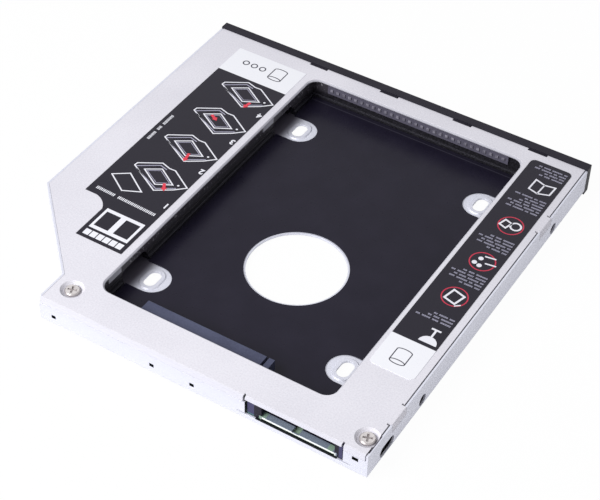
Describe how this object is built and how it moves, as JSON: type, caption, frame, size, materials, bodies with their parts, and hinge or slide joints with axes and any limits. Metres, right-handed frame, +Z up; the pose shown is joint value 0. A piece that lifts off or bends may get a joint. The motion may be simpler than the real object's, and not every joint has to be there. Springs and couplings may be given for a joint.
{
  "type": "laptop drive caddy",
  "caption": "Flat metal caddy that carries a 2.5 inch drive in a slim optical drive bay, with a cut rear corner, an open bay, a connector board and a black bezel.",
  "frame": {"origin": "under the middle of the whole caddy, on the surface that it lies on", "axes": "+X across the caddy towards the full length side wall, +Y from the rear plug to the bezel, +Z up through the open bay"},
  "size_m": [0.1276, 0.1298, 0.0095],
  "materials": {
    "tray_metal": "fine satin sheet",
    "cover_metal": "fine blasted sheet",
    "black_film": "smooth matt film",
    "frame_plastic": "spark textured moulding",
    "screw_steel": "nickel plated",
    "buffer_rubber": "matt rubber with studs",
    "post_brass": "turned",
    "green_board": "green solder mask",
    "slate_plastic": "matt moulded",
    "contact_gold": "gold plated",
    "tin_plate": "tin plated",
    "plug_plastic": "matt moulded",
    "capacitor_ceramic": "tan ceramic with tinned ends",
    "resistor_black": "black glaze with tinned ends",
    "bezel_plastic": "fine grained moulding",
    "label_print": "satin film label"
  },
  "bodies": {
    "root": {"base_tray": "tray_metal", "top_cover": "cover_metal", "insulating_film": "black_film", "inner_frame": "frame_plastic", "frame_screws": "screw_steel", "drive_buffer": "buffer_rubber", "cover_posts": "post_brass", "cover_screws": "screw_steel", "connector_board": "green_board", "board_posts": "post_brass", "board_screws": "screw_steel", "drive_socket": "slate_plastic", "drive_socket_contacts": "contact_gold", "socket_hold_downs": "tin_plate", "bay_plug": "plug_plastic", "bay_plug_contacts": "contact_gold", "plug_hold_downs": "tin_plate", "board_capacitors": "capacitor_ceramic", "board_resistors": "resistor_black", "bezel": "bezel_plastic", "left_label": "label_print", "right_label": "label_print"}
  },
  "joints": []
}
